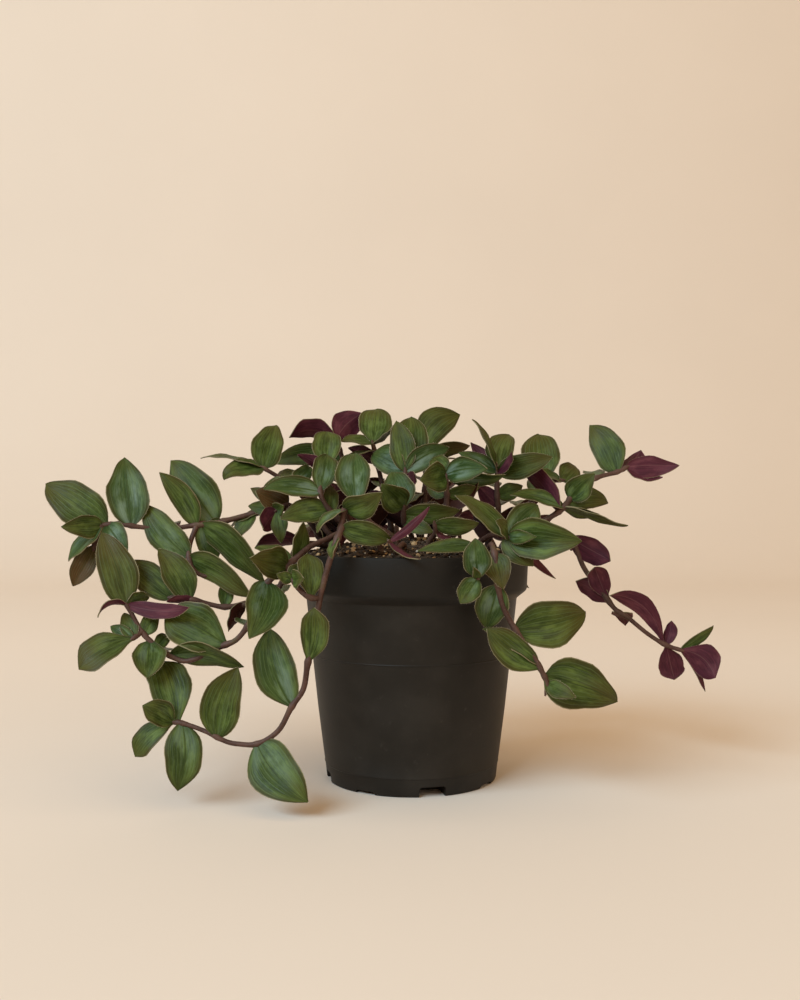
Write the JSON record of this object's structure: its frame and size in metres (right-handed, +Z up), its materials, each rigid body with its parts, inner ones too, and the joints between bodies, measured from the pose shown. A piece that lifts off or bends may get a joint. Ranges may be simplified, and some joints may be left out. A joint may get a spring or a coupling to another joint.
{
  "type": "potted trailing plant",
  "caption": "Round tapered nursery pot with a deep collar, filled with soil, holding leafy trailing stems that stand up in the middle and hang over the rim on both sides",
  "frame": {"origin": "centre of the pot's flat base, on the floor", "axes": "+X to the right as seen in the picture, along the longest way across the plant; +Y away from the viewer; +Z up"},
  "size_m": [0.3471, 0.1795, 0.1933],
  "materials": {
    "pot_plastic": "matte black, moulded, broad soft sheen",
    "potting_soil": "rough dark peat mix with tan grit",
    "foliage": "satin leaf, green above and plum below, with short pale hairs"
  },
  "bodies": {
    "root": {"pot": "pot_plastic", "soil": "potting_soil", "stem_left_upper": "foliage", "stem_left_long": "foliage", "stem_left_middle": "foliage", "stem_front_left": "foliage", "stem_top_left": "foliage", "stem_back_left": "foliage", "stem_crown_left": "foliage", "stem_crown_olive": "foliage", "stem_crown_small": "foliage", "stem_crown_front": "foliage", "stem_crown_tall": "foliage", "stem_crown_centre": "foliage", "stem_crown_low": "foliage", "stem_crown_high": "foliage", "stem_crown_glossy": "foliage", "stem_crown_right": "foliage", "stem_right_back": "foliage", "stem_right_upper": "foliage", "stem_right_trailing": "foliage", "stem_front_right": "foliage", "stem_right_hanging": "foliage", "stem_front_twin": "foliage", "stem_front_folded": "foliage", "stem_front_middle": "foliage", "stem_behind_1": "foliage", "stem_behind_2": "foliage", "stem_behind_3": "foliage", "stem_behind_4": "foliage", "stem_behind_5": "foliage"}
  },
  "joints": []
}
